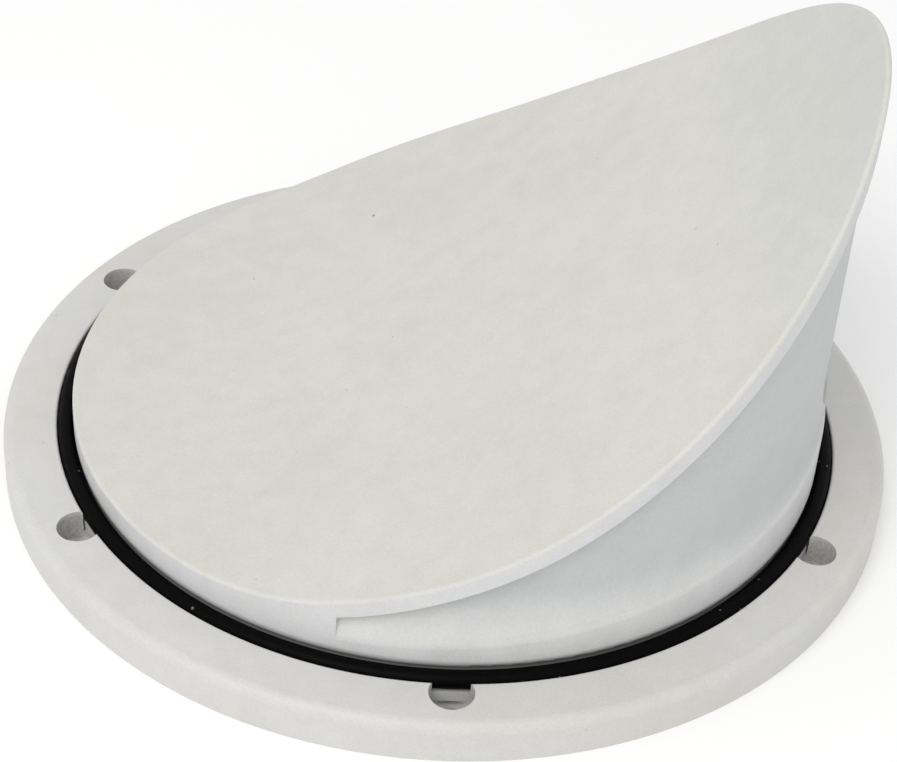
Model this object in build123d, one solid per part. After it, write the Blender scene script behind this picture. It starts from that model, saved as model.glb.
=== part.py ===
"""Low cowl vent: a deck ring, a hood that turns in it on an O-ring, and an insect screen.

Frame: millimetres, +Z up, origin at the centre of the deck ring's underside (the deck face).
The hood rises towards +X, where its mouth is.
"""
import os
from math import acos, cos, radians, sin

from build123d import *

# deck ring: flange on the deck, recess for the O-ring, seat for the hood, collar through the deck
FLANGE_R = 71.8
FLANGE_EDGE_H = 6.8
FLANGE_TOP_H = 7.0
FLANGE_EDGE_ROUND = 1.6
RECESS_R = 63.3
RECESS_ROUND = 0.35
LEDGE_Z = 2.9
COLLAR_OUTER_R = 60.0
COLLAR_INNER_R = 57.5
COLLAR_DEPTH = 6.0

# six deep counterbored holes for No. 6 pan-head screws; the counterbores break into the recess
SCREW_CIRCLE_R = 65.1
SCREW_COUNT = 6
FIRST_SCREW_ANGLE = 30.0
SCREW_HOLE_R = 2.0
COUNTERBORE_R = 3.35
COUNTERBORE_FLOOR_Z = 1.8
CUT_MARGIN = 1.0

# O-ring, 3 mm cord, running in the recess with a hair of clearance on both sides
FIT = 0.05
NECK_R = 60.3
O_RING_SECTION_R = (RECESS_R - NECK_R - 2 * FIT) / 2
O_RING_CENTRE_R = (RECESS_R + NECK_R) / 2
O_RING_Z = 6.2

# hood: round body, top sheet curved one way only, wall set back under the sheet's edge
HOOD_R = 60.6
HOOD_FOOT_Z = 8.0
HOOD_FOOT_ROUND = 1.5
FLANGE_CLEARANCE = 0.3
SEAT_GAP = 0.1
HOOD_FLANGE_TOP_Z = O_RING_Z - O_RING_SECTION_R - FIT
TOP_CURVE = [
    (-64.0, 11.6),
    (-45.0, 12.3),
    (-27.0, 14.3),
    (-10.0, 19.6),
    (8.0, 27.4),
    (25.0, 38.1),
    (42.0, 53.3),
    (53.0, 67.7),
    (64.0, 87.3),
]
SHEET_REAR_THICKNESS = 2.5
SHEET_TIP_THICKNESS = 3.4
CURVE_LEAD = 10.0
CURVE_LEAD_DROP = 0.5
SHEET_EDGE_ROUND = 0.5
WALL_R = 58.15
WALL_SHIFT = 1.9
WALL_THICKNESS = 2.5
FLARE_R = 19.8
FLARE_TOP_Z = 21.5
FLARE_REACH_Z = 8.0
FLARE_MIDDLE_TURN = 0.5
SHOULDER_ROUND = 4.0
SETBACK_FLOOR_Z = 9.0
RECESS_END_ANGLE = 106.0
CHAMBER_FLOOR_Z = 5.5
CHAMBER_R = 58.0
MOUTH_WIDTH = 46.0
MOUTH_SILL_Z = 22.0
MOUTH_CORNER_R = 12.0
MOUTH_CUT_DEPTH = 38.8

# skirt under the hood, inside the collar, with a step for the insect screen
SKIRT_OUTER_R = 57.2
SKIRT_INNER_R = 54.8
SKIRT_BOTTOM_Z = -5.0
THROAT_R = 51.0
SCREEN_STEP_Z = -0.5

# insect screen and the ring that holds it up against the step
SCREEN_R = 54.6
SCREEN_THICKNESS = 0.6
RETAINER_R = 54.8
RETAINER_INNER_R = 51.0
RETAINER_HEIGHT = 3.0

FAR = 200.0


def turned(points, axis_x=0.0):
    """Solid of revolution about the vertical line at axis_x, from (radius, z) corners."""
    outline = Polyline(*[(axis_x + r, 0, z) for r, z in points], close=True)
    axis = Axis((axis_x, 0, 0), (0, 0, 1))
    return revolve(make_face(outline), axis, 360)


def disc(radius, low, high, axis_x=0.0):
    """Upright cylinder between two heights."""
    return Pos(axis_x, 0, (low + high) / 2) * Cylinder(radius, high - low)


def screw_places():
    """Centres of the six screw holes, in plan."""
    step = 360 / SCREW_COUNT
    angles = [radians(FIRST_SCREW_ANGLE + step * k) for k in range(SCREW_COUNT)]
    return [(SCREW_CIRCLE_R * cos(a), SCREW_CIRCLE_R * sin(a)) for a in angles]


def deck_ring():
    """Flange, recess, seat and collar in one moulding, with its six counterbored holes."""
    section = [
        (COLLAR_INNER_R, -COLLAR_DEPTH),
        (COLLAR_OUTER_R, -COLLAR_DEPTH),
        (COLLAR_OUTER_R, 0),
        (FLANGE_R, 0),
        (FLANGE_R, FLANGE_EDGE_H),
        (RECESS_R, FLANGE_TOP_H),
        (RECESS_R, LEDGE_Z),
        (COLLAR_INNER_R, LEDGE_Z),
    ]
    ring = turned(section)
    outer_edge = ring.edges().filter_by(GeomType.CIRCLE).group_by(SortBy.RADIUS)[-1].sort_by(Axis.Z)[-1]
    ring = fillet(outer_edge, FLANGE_EDGE_ROUND)
    inner_edge = ring.edges().filter_by(GeomType.CIRCLE).group_by(Axis.Z)[-1].sort_by(SortBy.RADIUS)[0]
    ring = fillet(inner_edge, RECESS_ROUND)
    for x, y in screw_places():
        shank = Pos(x, y, 0) * disc(SCREW_HOLE_R, -CUT_MARGIN, COUNTERBORE_FLOOR_Z + CUT_MARGIN)
        head = Pos(x, y, 0) * disc(COUNTERBORE_R, COUNTERBORE_FLOOR_Z, FLANGE_TOP_H + CUT_MARGIN)
        ring = ring - shank - head
    return ring


def o_ring():
    """Round rubber cord between the hood's neck and the recess."""
    return Pos(0, 0, O_RING_Z) * Torus(O_RING_CENTRE_R, O_RING_SECTION_R)


def under_curve(points):
    """Everything under a curve of (x, z) points, across the whole width of the hood."""
    line = Spline(*[(x, -FAR, z) for x, z in points])
    first = line @ 0
    last = line @ 1
    sides = Polyline(last, (last.X, -FAR, -FAR), (first.X, -FAR, -FAR), first)
    face = make_face([line, sides])
    return extrude(face, 2 * FAR, dir=(0, 1, 0))


def sheet_underside(points):
    """The same curve moved down square to itself, further at the tip than at the rear."""
    line = Spline(*[(x, 0, z) for x, z in points])
    count = len(points)
    moved = []
    for k in range(count):
        t = k / (count - 1)
        depth = SHEET_REAR_THICKNESS + t * (SHEET_TIP_THICKNESS - SHEET_REAR_THICKNESS)
        place = line @ t
        slope = line % t
        moved.append((place.X + depth * slope.Z, place.Z - depth * slope.X))
    before = (moved[0][0] - CURVE_LEAD, moved[0][1] - CURVE_LEAD_DROP)
    return [before] + moved


def flared_wall():
    """The wall's outer shape: a cylinder that flares out by a long arc, softly rounded onto the body."""
    turn = FLARE_R + WALL_R
    foot = turn - (FLARE_R ** 2 - (FLARE_TOP_Z - FLARE_REACH_Z) ** 2) ** 0.5
    middle_r = turn - FLARE_R * cos(FLARE_MIDDLE_TURN)
    middle_z = FLARE_TOP_Z - FLARE_R * sin(FLARE_MIDDLE_TURN)
    x = WALL_SHIFT
    arc = ThreePointArc(
        (x + WALL_R, 0, FLARE_TOP_Z),
        (x + middle_r, 0, middle_z),
        (x + foot, 0, FLARE_REACH_Z),
    )
    rest = Polyline(arc @ 1, (x + foot, 0, -FAR), (x, 0, -FAR), (x, 0, FAR), (x + WALL_R, 0, FAR), arc @ 0)
    flare = revolve(make_face([arc, rest]), Axis((x, 0, 0), (0, 0, 1)), 360)
    body = flare & disc(HOOD_R, -FAR / 2, FAR / 2)
    shoulder = body.edges().filter_by(lambda e: e.geom_type not in (GeomType.CIRCLE, GeomType.LINE))
    return fillet(shoulder, SHOULDER_ROUND)


def hood_body():
    """Round outside of the hood: rounded foot, neck for the O-ring, and the flange that it rests on."""
    turn = acos(1 - (HOOD_R - NECK_R) / HOOD_FOOT_ROUND)
    centre = HOOD_R - HOOD_FOOT_ROUND
    foot = ThreePointArc(
        (NECK_R, 0, HOOD_FOOT_Z - HOOD_FOOT_ROUND * sin(turn)),
        (centre + HOOD_FOOT_ROUND * cos(turn / 2), 0, HOOD_FOOT_Z - HOOD_FOOT_ROUND * sin(turn / 2)),
        (HOOD_R, 0, HOOD_FOOT_Z),
    )
    flange_r = RECESS_R - FLANGE_CLEARANCE
    flange_bottom = LEDGE_Z + SEAT_GAP
    rest = Polyline(
        foot @ 1,
        (HOOD_R, 0, FAR),
        (0, 0, FAR),
        (0, 0, flange_bottom),
        (flange_r, 0, flange_bottom),
        (flange_r, 0, HOOD_FLANGE_TOP_Z),
        (NECK_R, 0, HOOD_FLANGE_TOP_Z),
        foot @ 0,
    )
    return revolve(make_face([foot, rest]), Axis.Z, 360)


def front_sector():
    """The part of the plan in which the wall is set back, as a wedge about +X."""
    a = radians(RECESS_END_ANGLE)
    corners = [(0, 0), (FAR * cos(a), -FAR * sin(a)), (FAR, -FAR), (FAR, FAR), (FAR * cos(a), FAR * sin(a))]
    return extrude(make_face(Polyline(*corners, close=True)), FAR)


def cowl_hood():
    """Hood in one moulding: top sheet, wall, mouth, plug with neck, and skirt."""
    under_sheet = under_curve(sheet_underside(TOP_CURVE))
    hood = hood_body() & under_curve(TOP_CURVE)
    rim = hood.edges().filter_by(GeomType.BSPLINE).sort_by(SortBy.LENGTH)[-1]
    hood = fillet(rim, SHEET_EDGE_ROUND)
    setback = disc(2 * HOOD_R, SETBACK_FLOOR_Z, FAR) & under_sheet & front_sector()
    hood = hood - (setback - flared_wall())
    chamber = disc(WALL_R - WALL_THICKNESS, CHAMBER_FLOOR_Z, FAR, WALL_SHIFT)
    rear = disc(CHAMBER_R, CHAMBER_FLOOR_Z, FAR) - front_sector()
    hood = hood - ((chamber + rear) & under_sheet)
    mouth = Pos(HOOD_R, 0, MOUTH_SILL_Z + FAR / 2) * Box(MOUTH_CUT_DEPTH, MOUTH_WIDTH, FAR)
    mouth = fillet(mouth.edges().filter_by(Axis.X).group_by(Axis.Z)[0], MOUTH_CORNER_R)
    hood = hood - (mouth & under_sheet)
    hood = hood + disc(SKIRT_OUTER_R, SKIRT_BOTTOM_Z, CHAMBER_FLOOR_Z)
    hood = hood - disc(SKIRT_INNER_R, SKIRT_BOTTOM_Z - CUT_MARGIN, SCREEN_STEP_Z)
    hood = hood - disc(THROAT_R, SCREEN_STEP_Z - CUT_MARGIN, CHAMBER_FLOOR_Z + CUT_MARGIN)
    return hood


def insect_screen():
    """Woven screen, as a plain thin disc."""
    return disc(SCREEN_R, SCREEN_STEP_Z - SCREEN_THICKNESS, SCREEN_STEP_Z)


def screen_retainer():
    """Ring pressed into the skirt from below to hold the screen."""
    top = SCREEN_STEP_Z - SCREEN_THICKNESS
    low = top - RETAINER_HEIGHT
    return turned([(RETAINER_INNER_R, low), (RETAINER_R, low), (RETAINER_R, top), (RETAINER_INNER_R, top)])


def main():
    os.makedirs("parts", exist_ok=True)
    pieces = {
        "deck_ring": deck_ring(),
        "o_ring": o_ring(),
        "cowl_hood": cowl_hood(),
        "insect_screen": insect_screen(),
        "screen_retainer": screen_retainer(),
    }
    for name, shape in pieces.items():
        export_step(shape, f"parts/{name}.step")


main()
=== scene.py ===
import bpy
import math
import numpy as np
from mathutils import Matrix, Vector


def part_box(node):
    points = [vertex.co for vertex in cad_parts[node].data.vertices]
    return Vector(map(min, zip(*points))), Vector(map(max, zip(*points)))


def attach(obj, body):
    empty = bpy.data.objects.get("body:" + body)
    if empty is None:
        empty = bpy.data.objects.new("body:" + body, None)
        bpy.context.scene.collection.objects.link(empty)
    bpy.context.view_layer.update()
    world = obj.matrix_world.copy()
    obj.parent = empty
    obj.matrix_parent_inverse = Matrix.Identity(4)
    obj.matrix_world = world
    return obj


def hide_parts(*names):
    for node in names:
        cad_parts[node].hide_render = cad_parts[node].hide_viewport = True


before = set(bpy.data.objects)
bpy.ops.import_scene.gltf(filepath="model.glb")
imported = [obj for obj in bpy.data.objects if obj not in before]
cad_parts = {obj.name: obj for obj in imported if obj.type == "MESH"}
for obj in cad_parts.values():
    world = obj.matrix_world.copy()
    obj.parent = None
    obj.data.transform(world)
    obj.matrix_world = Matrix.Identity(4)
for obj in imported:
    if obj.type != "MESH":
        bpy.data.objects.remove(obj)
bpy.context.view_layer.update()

# ---- Deck ring -------------------------------------------------------------------------------
# Flange, recess and collar are one injection moulding in off-white, weather-proof plastic. It is
# screwed to the deck through six counterbored holes that break into the O-ring's recess. Inside
# those holes the colour carries painted shade, a darker grey broken up by a grit-like mottle.
MM = 0.001
HOLE_TOP = 6.3 * MM
HOLE_BOTTOM = 0.6 * MM
HOLE_INNER_R = 63.45 * MM
HOLE_OUTER_R = 69.2 * MM
RING_COLOUR = (0.615, 0.612, 0.606)
RING_SHADE = (0.596, 0.588, 0.550)
HOLE_SHADE_COLOUR = (0.42, 0.415, 0.40)
HOLE_SOFT = 0.4 * MM
SPECK_COLOUR = (0.10, 0.095, 0.085)
GRAIN_DEPTH = 0.06 * MM
WAVES_IN_HEIGHT = 1.6
WAVES_IN_MOTTLE = 0.5
MOTTLE_MEAN = 0.75
SMALLEST_SPECK = 0.35
SPECK_EDGE = 2.0
SPECK_STRENGTH = 0.8
FINE_SPECK_STRENGTH = 0.35
SCUFF_TURN = (0.2, 0.1, 0.5)
SCUFF_STRETCH = (1.0, 0.06, 1.0)
SCUFF_PATCH_SCALE = 35.0
DARK_MOTTLE = (0.80, 0.80, 0.80)
PALE_MOTTLE = (1.20, 1.20, 1.20)


def new_group(name, inputs, outputs):
    """An empty node group with the given named value or vector inputs and value outputs."""
    tree = bpy.data.node_groups.new(name, "ShaderNodeTree")
    for label, kind, default in inputs:
        socket = tree.interface.new_socket(label, in_out="INPUT", socket_type=kind)
        if kind == "NodeSocketFloat":
            socket.default_value = default
    for label in outputs:
        tree.interface.new_socket(label, in_out="OUTPUT", socket_type="NodeSocketFloat")
    start = tree.nodes.new("NodeGroupInput")
    end = tree.nodes.new("NodeGroupOutput")
    return tree, start.outputs, end.inputs


def math_node(tree, operation, *values, clamp=False):
    """One arithmetic step. Each value is a number or the output of another node."""
    node = tree.nodes.new("ShaderNodeMath")
    node.operation = operation
    node.use_clamp = clamp
    for socket, value in zip(node.inputs, values):
        if isinstance(value, (int, float)):
            socket.default_value = value
        else:
            tree.links.new(value, socket)
    return node.outputs[0]


def noise(tree, vector, scale, detail=2.0, roughness=0.5):
    """Smooth noise between 0 and 1, with scale in cells to the metre."""
    node = tree.nodes.new("ShaderNodeTexNoise")
    node.inputs["Detail"].default_value = detail
    node.inputs["Roughness"].default_value = roughness
    tree.links.new(vector, node.inputs["Vector"])
    if isinstance(scale, (int, float)):
        node.inputs["Scale"].default_value = scale
    else:
        tree.links.new(scale, node.inputs["Scale"])
    return node.outputs["Fac"]


def grain_group():
    """Moulded grain. Height is fine noise plus broad waves that are 1.6 times as high. Mottle is
    fine noise plus half as much broad noise, less its mean, so that it lies evenly about zero."""
    tree, given, out = new_group(
        "moulded grain",
        [("Vector", "NodeSocketVector", None), ("Grain Scale", "NodeSocketFloat", 2600.0),
         ("Wave Scale", "NodeSocketFloat", 260.0)],
        ["Height", "Mottle"])
    fine = noise(tree, given["Vector"], given["Grain Scale"], detail=3.0, roughness=0.6)
    broad = noise(tree, given["Vector"], given["Wave Scale"])
    height = math_node(tree, "MULTIPLY_ADD", broad, WAVES_IN_HEIGHT, fine)
    tree.links.new(height, out["Height"])
    both = math_node(tree, "MULTIPLY_ADD", broad, WAVES_IN_MOTTLE, fine)
    tree.links.new(math_node(tree, "SUBTRACT", both, MOTTLE_MEAN), out["Mottle"])
    return tree


def speck_group():
    """Dust specks: a small dot in a few cells of a Voronoi pattern, the cells chosen at random."""
    tree, given, out = new_group(
        "dust specks",
        [("Vector", "NodeSocketVector", None), ("Scale", "NodeSocketFloat", 120.0),
         ("Share", "NodeSocketFloat", 0.1), ("Size", "NodeSocketFloat", 0.05)],
        ["Mask"])
    cells = tree.nodes.new("ShaderNodeTexVoronoi")
    tree.links.new(given["Vector"], cells.inputs["Vector"])
    tree.links.new(given["Scale"], cells.inputs["Scale"])
    split = tree.nodes.new("ShaderNodeSeparateColor")
    tree.links.new(cells.outputs["Color"], split.inputs["Color"])
    chosen = math_node(tree, "LESS_THAN", split.outputs["Red"], given["Share"])
    share_of_size = math_node(tree, "ADD", split.outputs["Green"], SMALLEST_SPECK)
    radius = math_node(tree, "MULTIPLY", given["Size"], share_of_size)
    reach = math_node(tree, "DIVIDE", cells.outputs["Distance"], radius)
    depth = math_node(tree, "SUBTRACT", 1.0, reach, clamp=True)
    dot = math_node(tree, "MULTIPLY", depth, SPECK_EDGE, clamp=True)
    tree.links.new(math_node(tree, "MULTIPLY", dot, chosen), out["Mask"])
    return tree


def above(tree, value, start, slope):
    """0 up to the start, then rising by the slope until it is 1."""
    return math_node(tree, "MULTIPLY", math_node(tree, "SUBTRACT", value, start), slope, clamp=True)


def scuff_group():
    """Handling scuffs: long thin streaks where noise stretched along one way peaks."""
    tree, given, out = new_group(
        "handling scuffs",
        [("Vector", "NodeSocketVector", None), ("Scale", "NodeSocketFloat", 500.0)],
        ["Mask"])
    turned = tree.nodes.new("ShaderNodeMapping")
    turned.inputs["Rotation"].default_value = SCUFF_TURN
    turned.inputs["Scale"].default_value = SCUFF_STRETCH
    tree.links.new(given["Vector"], turned.inputs["Vector"])
    streaks = noise(tree, turned.outputs["Vector"], given["Scale"], roughness=0.7)
    patches = noise(tree, given["Vector"], SCUFF_PATCH_SCALE, detail=1.0)
    sharp = above(tree, streaks, start=0.60, slope=8.0)
    where = above(tree, patches, start=0.52, slope=5.0)
    tree.links.new(math_node(tree, "MULTIPLY", sharp, where), out["Mask"])
    return tree


def band_group():
    """1 between two values and 0 outside them, for the radius and for the height of a point, with
    an edge as wide as Soft that is half way up at each value."""
    tree, given, out = new_group(
        "turned bands",
        [("Vector", "NodeSocketVector", None), ("Inner", "NodeSocketFloat", 0.0),
         ("Outer", "NodeSocketFloat", 1.0), ("Low", "NodeSocketFloat", -1.0),
         ("High", "NodeSocketFloat", 1.0), ("Soft", "NodeSocketFloat", 0.0002)],
        ["Radius", "Height"])
    split = tree.nodes.new("ShaderNodeSeparateXYZ")
    tree.links.new(given["Vector"], split.inputs["Vector"])
    square = math_node(tree, "MULTIPLY", split.outputs["X"], split.outputs["X"])
    square = math_node(tree, "MULTIPLY_ADD", split.outputs["Y"], split.outputs["Y"], square)
    radius = math_node(tree, "SQRT", square)
    for value, low, high, label in ((radius, "Inner", "Outer", "Radius"),
                                    (split.outputs["Z"], "Low", "High", "Height")):
        past_low = math_node(tree, "SUBTRACT", value, given[low])
        short_of_high = math_node(tree, "SUBTRACT", given[high], value)
        rise = math_node(tree, "ADD", math_node(tree, "DIVIDE", past_low, given["Soft"]), 0.5)
        fall = math_node(tree, "ADD", math_node(tree, "DIVIDE", short_of_high, given["Soft"]), 0.5)
        tree.links.new(math_node(tree, "MINIMUM", rise, fall, clamp=True), out[label])
    return tree


def place_group(tree, group, **values):
    """A group node in a material, reading object coordinates. Values are given by socket name."""
    node = tree.nodes.new("ShaderNodeGroup")
    node.node_tree = group
    for label, value in values.items():
        node.inputs[label.replace("_", " ")].default_value = value
    coordinates = tree.nodes.new("ShaderNodeTexCoord")
    tree.links.new(coordinates.outputs["Object"], node.inputs["Vector"])
    return node.outputs


def blend_colour(tree, share, first, second, blend_type="MIX"):
    """first where share is 0, and where it is 1 second or, for MULTIPLY, the two multiplied."""
    node = tree.nodes.new("ShaderNodeMix")
    node.data_type = "RGBA"
    node.blend_type = blend_type
    colours = [socket for socket in node.inputs if socket.type == "RGBA"]
    for socket, value in zip([node.inputs["Factor"]] + colours, (share, first, second)):
        if isinstance(value, tuple):
            socket.default_value = (*value, 1.0)
        elif isinstance(value, float):
            socket.default_value = value
        else:
            tree.links.new(value, socket)
    return [socket for socket in node.outputs if socket.type == "RGBA"][0]


def new_material(name, roughness, **constants):
    """A material with one Principled shader, its constants set on the shader's own sockets."""
    material = bpy.data.materials.new(name)
    material.use_nodes = True
    shader = material.node_tree.nodes["Principled BSDF"]
    shader.inputs["Roughness"].default_value = roughness
    for label, value in constants.items():
        shader.inputs[label.replace("_", " ")].default_value = value
    return material, material.node_tree, shader.inputs


def bump(tree, height, distance, strength):
    """Surface relief from a height, with distance in metres for a height of 1."""
    node = tree.nodes.new("ShaderNodeBump")
    node.inputs["Distance"].default_value = distance
    node.inputs["Strength"].default_value = strength
    tree.links.new(height, node.inputs["Height"])
    return node.outputs["Normal"]


grain = grain_group()
specks = speck_group()
scuffs = scuff_group()
bands = band_group()


def plastic_surface(tree, shader, base, mottle_share, speck_share, bump_strength=0.35):
    """Gives the shader a base colour with the finish that every moulding here has: mottle, dust
    specks, scuffs and moulded grain."""
    skin = place_group(tree, grain, Grain_Scale=2600.0, Wave_Scale=230.0)
    dust = place_group(tree, specks, Scale=150.0, Share=speck_share, Size=0.060)
    fine_dust = place_group(tree, specks, Scale=420.0, Share=0.05, Size=0.10)
    marks = place_group(tree, scuffs, Scale=620.0)
    lighter = math_node(tree, "MULTIPLY_ADD", skin["Mottle"], mottle_share, 0.5, clamp=True)
    brighter = blend_colour(tree, lighter, DARK_MOTTLE, PALE_MOTTLE)
    tinted = blend_colour(tree, 1.0, base, brighter, blend_type="MULTIPLY")
    faint_dots = math_node(tree, "MULTIPLY", fine_dust["Mask"], FINE_SPECK_STRENGTH)
    dots = math_node(tree, "MAXIMUM", dust["Mask"], faint_dots)
    dirty = math_node(tree, "MULTIPLY", dots, SPECK_STRENGTH)
    tree.links.new(blend_colour(tree, dirty, tinted, SPECK_COLOUR), shader["Base Color"])
    rough = math_node(tree, "MULTIPLY_ADD", skin["Mottle"], 0.25, 0.50)
    rough = math_node(tree, "MULTIPLY_ADD", marks["Mask"], 0.16, rough, clamp=True)
    tree.links.new(rough, shader["Roughness"])
    relief = math_node(tree, "MULTIPLY_ADD", marks["Mask"], -0.5, skin["Height"])
    tree.links.new(bump(tree, relief, GRAIN_DEPTH, bump_strength), shader["Normal"])


def dress(name, material):
    """Puts a material on the whole of a CAD piece."""
    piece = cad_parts[name]
    piece.data.materials.clear()
    piece.data.materials.append(material)


ring_material, tree, shader = new_material("ring off-white plastic", 0.5, IOR=1.49)
drift = place_group(tree, grain, Grain_Scale=42.0, Wave_Scale=9.0)
shade = math_node(tree, "MULTIPLY_ADD", drift["Mottle"], 2.2, 0.35, clamp=True)
ring_base = blend_colour(tree, shade, RING_COLOUR, RING_SHADE)
# Painted shade: inside the counterbored holes the ring's colour is mixed towards a darker grey,
# mottled by noise.
hole = place_group(tree, bands, Inner=HOLE_INNER_R, Outer=HOLE_OUTER_R, Low=HOLE_BOTTOM,
                   High=HOLE_TOP, Soft=HOLE_SOFT)
in_hole = math_node(tree, "MULTIPLY", hole["Radius"], hole["Height"])
hole_mottle_noise = place_group(tree, grain, Grain_Scale=1500.0, Wave_Scale=500.0)
hole_shade_mottle = math_node(tree, "MULTIPLY_ADD", hole_mottle_noise["Mottle"], 2.5, 0.45, clamp=True)
painted_hole_shade = math_node(tree, "MULTIPLY", in_hole, hole_shade_mottle)
ring_base = blend_colour(tree, painted_hole_shade, ring_base, HOLE_SHADE_COLOUR)
plastic_surface(tree, shader, ring_base, mottle_share=0.55, speck_share=0.055)
dress("deck_ring", ring_material)

# ---- O-ring ----------------------------------------------------------------------------------
# One round cord of black rubber, moulded in two halves, so a fine flash line runs round its
# inside and its outside. It is greased and pressed over the hood's neck.
FLASH_HEIGHT = 0.03 * MM
FLASH_WIDTH = 0.10
CORD_STEPS = 900
CORD_SIDES = 40
RUBBER_COLOUR = (0.0012, 0.0012, 0.0014)
RUBBER_DUST = (0.0035, 0.0035, 0.0033)
RUBBER_SPECK = (0.30, 0.29, 0.27)
RUBBER_RELIEF = 0.05 * MM


def mesh_object(name, points, faces, material, smooth=True):
    """A mesh object at the origin, from an array of points and a list of faces. smooth is one
    value for all the faces, or an array with one for each."""
    mesh = bpy.data.meshes.new(name)
    mesh.from_pydata(points.tolist(), [], faces)
    mesh.polygons.foreach_set("use_smooth", np.full(len(mesh.polygons), smooth))
    mesh.materials.append(material)
    mesh.update()
    piece = bpy.data.objects.new(name, mesh)
    bpy.context.scene.collection.objects.link(piece)
    return piece


def grid_faces(rows, columns, first=0):
    """Quads of a grid closed in both directions, point (i, j) being first + i * columns + j."""
    i, j = np.meshgrid(np.arange(rows), np.arange(columns), indexing="ij")
    after_i = (i + 1) % rows
    after_j = (j + 1) % columns
    quads = np.stack([i * columns + j, after_i * columns + j,
                      after_i * columns + after_j, i * columns + after_j], -1)
    return (quads.reshape(-1, 4) + first).tolist()


def cord_ring():
    """Torus (R + r cos v) round the axis, r sin v high. r rises by the flash at v = 0 and v = pi."""
    low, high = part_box("o_ring")
    section = (high.z - low.z) / 2
    middle = high.x - section
    v = 2 * np.pi * np.arange(CORD_SIDES) / CORD_SIDES
    u = 2 * np.pi * np.arange(CORD_STEPS) / CORD_STEPS
    flash = FLASH_HEIGHT * np.exp(-(np.sin(v) / FLASH_WIDTH) ** 2)
    r = section - FLASH_HEIGHT + flash
    across = middle + r * np.cos(v)
    up = (high.z + low.z) / 2 + r * np.sin(v)
    points = np.stack([np.cos(u)[:, None] * across, np.sin(u)[:, None] * across,
                       np.ones(CORD_STEPS)[:, None] * up], -1)
    return points.reshape(-1, 3), grid_faces(CORD_STEPS, CORD_SIDES)


rubber, tree, shader = new_material("black rubber", 0.42, IOR=1.45, Specular_IOR_Level=0.05)
dust = place_group(tree, specks, Scale=900.0, Share=0.06, Size=0.20)
bloom = place_group(tree, grain, Grain_Scale=900.0, Wave_Scale=60.0)
cloudy = math_node(tree, "MULTIPLY_ADD", bloom["Mottle"], 1.3, 0.30, clamp=True)
colour = blend_colour(tree, math_node(tree, "MULTIPLY", cloudy, 0.45), RUBBER_COLOUR, RUBBER_DUST)
colour = blend_colour(tree, math_node(tree, "MULTIPLY", dust["Mask"], 0.5), colour, RUBBER_SPECK)
tree.links.new(colour, shader["Base Color"])
rough = math_node(tree, "MULTIPLY_ADD", bloom["Mottle"], 0.5, 0.44, clamp=True)
tree.links.new(rough, shader["Roughness"])
tree.links.new(bump(tree, bloom["Height"], RUBBER_RELIEF, 0.4), shader["Normal"])
points, faces = cord_ring()
o_ring = mesh_object("o_ring_cord", points, faces, rubber)
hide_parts("o_ring")
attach(o_ring, "seal")

# ---- Hood ------------------------------------------------------------------------------------
# Sheet, wall, plug and skirt are one moulding in the same off-white plastic. Its colour carries
# painted
# light and shade: warmer tops, paler lit outer and low sides, a greyer wall under the sheet's
# overhang and a darker foot where it turns in against the greased O-ring.
WALL_OUTER_R = 60.33 * MM
SHOULDER_TOP = 15.5 * MM
SHOULDER_SOFT = 8.0 * MM
WALL_OUTER_SOFT = 0.25 * MM
FOOT_SHADE_INNER_R = 59.0 * MM
FOOT_SHADE_LOW = 6.4 * MM
FOOT_SHADE_TOP = 8.0 * MM
FOOT_SHADE_SOFT = 1.2 * MM
SHEET_COLOUR = (0.620, 0.614, 0.580)
SHEET_SHADE = (0.592, 0.592, 0.545)
OUTER_LIT_COLOUR = (0.632, 0.630, 0.634)
WALL_SHADE_COLOUR = (0.515, 0.530, 0.534)
FOOT_SHADE_COLOUR = (0.12, 0.118, 0.11)
FOOT_SHADE_STRENGTH = 0.85
FACING_UP = 0.45
FACING_SOFT = 0.5

hood_material, tree, shader = new_material("hood off-white plastic", 0.5, IOR=1.49)
drift = place_group(tree, grain, Grain_Scale=38.0, Wave_Scale=8.0)
shade = math_node(tree, "MULTIPLY_ADD", drift["Mottle"], 2.4, 0.40, clamp=True)
sheet = blend_colour(tree, shade, SHEET_COLOUR, SHEET_SHADE)
# Painted light by facing: faces turned up keep the warmer sheet colour and side faces take a cooler
# one, as a warm light from above and a cool one from the front would give.
geometry = tree.nodes.new("ShaderNodeNewGeometry")
facing = tree.nodes.new("ShaderNodeSeparateXYZ")
tree.links.new(geometry.outputs["True Normal"], facing.inputs["Vector"])
painted_light_by_facing = math_node(tree, "MULTIPLY_ADD", facing.outputs["Z"], -1 / FACING_SOFT,
                    0.5 + FACING_UP / FACING_SOFT, clamp=True)
# Painted shade and light on the side faces: the wall set back under the sheet is greyer as if shaded
# by the overhang, and the outermost faces and the low part of the wall are paler as if lit, the low
# part by light thrown up from the ring.
outer = place_group(tree, bands, Inner=WALL_OUTER_R, Outer=1.0, Soft=WALL_OUTER_SOFT)
below = place_group(tree, bands, Low=-1.0, High=SHOULDER_TOP, Soft=SHOULDER_SOFT)
smooth = math_node(tree, "MAXIMUM", outer["Radius"], below["Height"])
side_lit_and_shaded = blend_colour(tree, smooth, WALL_SHADE_COLOUR, OUTER_LIT_COLOUR)
hood_base = blend_colour(tree, painted_light_by_facing, sheet, side_lit_and_shaded)
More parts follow.
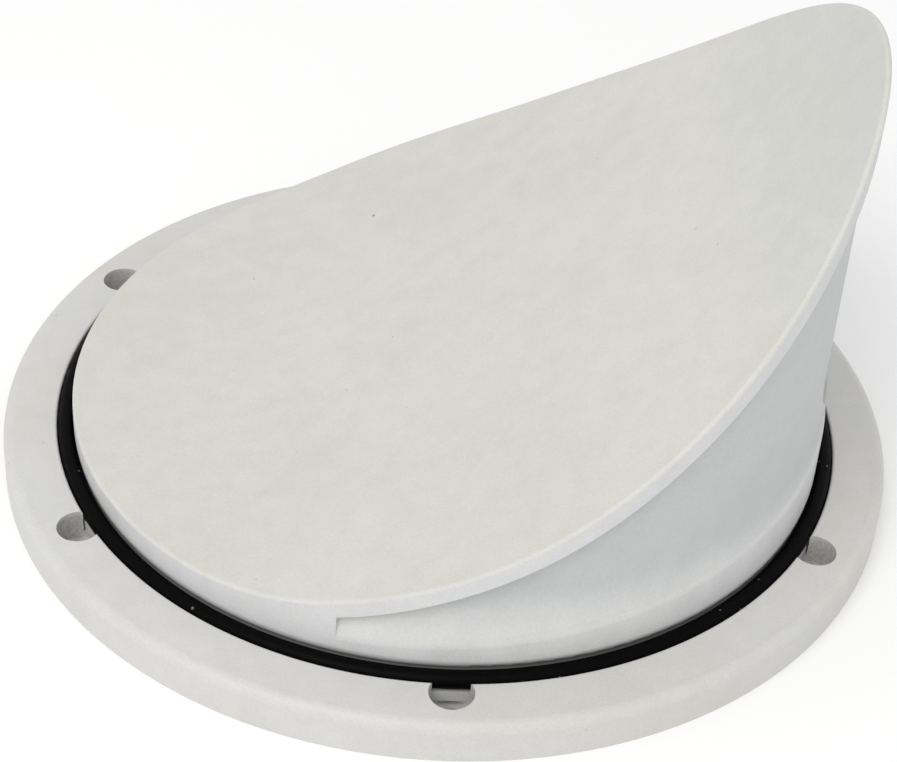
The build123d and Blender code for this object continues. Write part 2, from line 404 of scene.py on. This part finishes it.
# Painted shade: the foot is darkened where it turns in against the O-ring.
foot = place_group(tree, bands, Inner=FOOT_SHADE_INNER_R, Outer=1.0, Low=FOOT_SHADE_LOW,
                   High=FOOT_SHADE_TOP, Soft=FOOT_SHADE_SOFT)
at_foot = math_node(tree, "MULTIPLY", foot["Radius"], foot["Height"])
painted_foot_shade = math_node(tree, "MULTIPLY", at_foot, FOOT_SHADE_STRENGTH)
hood_base = blend_colour(tree, painted_foot_shade, hood_base, FOOT_SHADE_COLOUR)
plastic_surface(tree, shader, hood_base, mottle_share=0.60, speck_share=0.085)
dress("cowl_hood", hood_material)

# ---- Insect screen ---------------------------------------------------------------------------
# A disc cut from plain-woven coated glass yarn, each yarn passing over one and under the next.
# Its edge is pressed flat into a hem and clamped between the skirt's step and the retainer.
YARN_PITCH = 2.3 * MM
YARN_SIDES = 5
YARN_POINTS = 4
HEM_INNER_R = 51.6 * MM
HEM_STEPS = 240
HEM_INSET = 0.1 * MM
YARN_END_INSET = 0.6 * MM
YARN_RELIEF = 0.03 * MM
YARN_COLOUR = (0.055, 0.057, 0.058)
YARN_PALE = (0.12, 0.12, 0.12)


def tube_faces(steps, first, flip):
    """Quads along a tube of rings of YARN_SIDES points, and a cap on each end. flip turns them."""
    i, j = np.meshgrid(np.arange(steps - 1), np.arange(YARN_SIDES), indexing="ij")
    after = (j + 1) % YARN_SIDES
    quads = np.stack([i * YARN_SIDES + j, i * YARN_SIDES + after,
                      (i + 1) * YARN_SIDES + after, (i + 1) * YARN_SIDES + j], -1).reshape(-1, 4)
    start_cap = np.arange(YARN_SIDES)[::-1]
    end_cap = np.arange(YARN_SIDES) + (steps - 1) * YARN_SIDES
    if flip:
        quads, start_cap, end_cap = quads[:, ::-1], start_cap[::-1], end_cap[::-1]
    return (quads + first).tolist() + [(start_cap + first).tolist(), (end_cap + first).tolist()]


def woven_yarns(radius, middle_z, yarn_r):
    """Yarns at x = k pitch and at y = k pitch, with height ±yarn_r cos(pi along / pitch)."""
    count = int(radius // YARN_PITCH)
    all_points = []
    all_faces = []
    total = 0
    around = 2 * np.pi * np.arange(YARN_SIDES) / YARN_SIDES
    for direction in (0, 1):
        for k in range(-count, count + 1):
            across = k * YARN_PITCH
            half = math.sqrt(max(radius ** 2 - across ** 2, 0.0))
            if half < 2 * YARN_PITCH:
                continue
            steps = int(2 * half / YARN_PITCH * YARN_POINTS) + 1
            along = np.linspace(-half, half, steps)
            sign = 1 if (k + direction) % 2 == 0 else -1
            wave = sign * yarn_r * np.cos(np.pi * along / YARN_PITCH)
            height = middle_z + wave[:, None] + yarn_r * np.sin(around)
            run = along[:, None] + np.zeros(YARN_SIDES)
            beside = across + yarn_r * np.cos(around) + np.zeros((steps, 1))
            plan = (run, beside) if direction == 0 else (beside, run)
            all_points.append(np.stack([*plan, height], -1).reshape(-1, 3))
            all_faces += tube_faces(steps, total, flip=direction == 0)
            total += steps * YARN_SIDES
    return all_points, all_faces, total


def hem_points(inner_r, outer_r, low, high):
    """The four corners of a flat ring's section, carried round the axis."""
    u = 2 * np.pi * np.arange(HEM_STEPS) / HEM_STEPS
    radii = np.array([inner_r, outer_r, outer_r, inner_r])
    heights = np.array([low, low, high, high])
    return np.stack([np.cos(u)[:, None] * radii, np.sin(u)[:, None] * radii,
                     np.ones(HEM_STEPS)[:, None] * heights], -1).reshape(-1, 3)


screen_low, screen_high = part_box("insect_screen")
screen_z = (screen_low.z + screen_high.z) / 2
yarn_r = (screen_high.z - screen_low.z) / 4
screen_points, screen_faces, total = woven_yarns(screen_high.x - YARN_END_INSET, screen_z, yarn_r)
hem = hem_points(HEM_INNER_R, screen_high.x - HEM_INSET, screen_low.z + HEM_INSET,
                 screen_high.z - HEM_INSET)
screen_points = np.concatenate(screen_points + [hem])
screen_faces = screen_faces + grid_faces(HEM_STEPS, 4, total)
yarn, tree, shader = new_material("coated yarn", 0.5, IOR=1.5)
fuzz = place_group(tree, grain, Grain_Scale=5000.0, Wave_Scale=300.0)
tone = math_node(tree, "MULTIPLY_ADD", fuzz["Mottle"], 1.2, 0.3, clamp=True)
tree.links.new(blend_colour(tree, tone, YARN_COLOUR, YARN_PALE), shader["Base Color"])
rough = math_node(tree, "MULTIPLY_ADD", fuzz["Mottle"], 0.4, 0.5, clamp=True)
tree.links.new(rough, shader["Roughness"])
tree.links.new(bump(tree, fuzz["Height"], YARN_RELIEF, 0.5), shader["Normal"])
yarn_sides = np.array([len(face) == 4 and max(face) < total for face in screen_faces])
screen = mesh_object("woven_screen", screen_points, screen_faces, yarn, smooth=yarn_sides)
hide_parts("insect_screen")
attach(screen, "cowl")

# ---- Screen retainer -------------------------------------------------------------------------
# A plain ring of grey plastic with the same grain as the mouldings. It is pressed up into the
# skirt from below and holds the screen against its step.
RETAINER_COLOUR = (0.40, 0.40, 0.395)
retainer_material, tree, shader = new_material("grey retainer plastic", 0.5, IOR=1.5)
base = tree.nodes.new("ShaderNodeRGB")
base.outputs[0].default_value = (*RETAINER_COLOUR, 1.0)
plastic_surface(tree, shader, base.outputs[0], mottle_share=0.5, speck_share=0.05, bump_strength=0.3)
dress("screen_retainer", retainer_material)

# ---- Deck under the ring ---------------------------------------------------------------------
# The studio floor stands for the deck: flat, white and matt, with one round hole and a closed
# well below it that take the collar, so the flange lies flat on it as on a real deck.
FLOOR_EDGE_R = 6.0
HOLE_R = 60.4 * MM
WELL_DEPTH = 40.0 * MM
WELL_CENTRE_R = 1.0 * MM
FLOOR_RADII = (FLOOR_EDGE_R, 2.0, 0.6, 0.2, 0.09, 0.062, HOLE_R)
FLOOR_DARK = (0.955, 0.955, 0.955)
FLOOR_PALE = (0.975, 0.975, 0.975)

floor_material, tree, shader = new_material("white floor", 0.9, Specular_IOR_Level=0.2)
paper = place_group(tree, grain, Grain_Scale=700.0, Wave_Scale=20.0)
pale = math_node(tree, "MULTIPLY_ADD", paper["Mottle"], 0.5, 0.5, clamp=True)
tree.links.new(blend_colour(tree, pale, FLOOR_DARK, FLOOR_PALE), shader["Base Color"])


def floor_with_well(steps=180):
    """Rings of the plane z = 0 from far out to the hole, then the well's wall and its bottom."""
    radii = np.array(FLOOR_RADII + (HOLE_R, WELL_CENTRE_R))
    heights = np.array((0.0,) * len(FLOOR_RADII) + (-WELL_DEPTH, -WELL_DEPTH))
    u = 2 * np.pi * np.arange(steps) / steps
    points = np.stack([np.cos(u)[:, None] * radii, np.sin(u)[:, None] * radii,
                       np.ones(steps)[:, None] * heights], -1).reshape(-1, 3)
    rows = len(radii)
    i, j = np.meshgrid(np.arange(steps), np.arange(rows - 1), indexing="ij")
    after = (i + 1) % steps
    quads = np.stack([i * rows + j, after * rows + j, after * rows + j + 1, i * rows + j + 1], -1)
    return points, quads.reshape(-1, 4).tolist()


points, faces = floor_with_well()
floor = mesh_object("floor", points, faces, floor_material, smooth=False)

# ---- Light and camera ------------------------------------------------------------------------
# Even white surroundings with one broad soft light in front, above and to the left, and a long
# lens looking down on the vent from beside its mouth, rolled a little.
WORLD_STRENGTH = 0.80
KEY_POWER = 4.2
KEY_SIZE = 0.6
KEY_COLOUR = (1.0, 0.995, 0.98)
KEY_PLACE = (-0.30, -0.58, 0.82)
ELEVATION = math.radians(37.64)
ROLL = math.radians(3.883)
TURN = math.radians(-3.0)
DISTANCE = 0.37256
SHIFT_RIGHT = 0.00062
SHIFT_UP = 0.00967
LENS_MM = 89.907
SENSOR_MM = 36.0
NEAREST = 0.01


def placed(across, upward, backward, place):
    """Matrix that turns an object's X, Y and Z to three axes and moves it to a place."""
    rows = np.stack([across, upward, backward], 1)
    return Matrix([(*row, part) for row, part in zip(rows, place)] + [(0, 0, 0, 1)])


world = bpy.data.worlds.new("studio")
bpy.context.scene.world = world
world.use_nodes = True
surroundings = world.node_tree.nodes["Background"].inputs
surroundings["Color"].default_value = (1.0, 1.0, 1.0, 1.0)
surroundings["Strength"].default_value = WORLD_STRENGTH

key = bpy.data.lights.new("key", "AREA")
key.energy = KEY_POWER
key.size = KEY_SIZE
key.color = KEY_COLOUR
key_light = bpy.data.objects.new("key", key)
bpy.context.scene.collection.objects.link(key_light)
toward = np.array(KEY_PLACE) / np.linalg.norm(KEY_PLACE)
beside = np.cross((0.0, 0.0, 1.0), toward)
beside = beside / np.linalg.norm(beside)
key_light.matrix_world = placed(beside, np.cross(toward, beside), toward, KEY_PLACE)

back = np.array([math.sin(TURN) * math.cos(ELEVATION), -math.cos(TURN) * math.cos(ELEVATION),
                 math.sin(ELEVATION)])
right = np.array([math.cos(TURN), math.sin(TURN), 0.0])
up = np.cross(back, right)
camera_right = math.cos(ROLL) * right + math.sin(ROLL) * up
camera_up = -math.sin(ROLL) * right + math.cos(ROLL) * up
place = DISTANCE * back + SHIFT_RIGHT * camera_right + SHIFT_UP * camera_up
lens = bpy.data.cameras.new("camera")
lens.lens = LENS_MM
lens.sensor_width = SENSOR_MM
lens.clip_start = NEAREST
camera = bpy.data.objects.new("camera", lens)
bpy.context.scene.collection.objects.link(camera)
camera.matrix_world = placed(camera_right, camera_up, back, place)
bpy.context.scene.camera = camera
bpy.context.scene.view_settings.view_transform = "Standard"
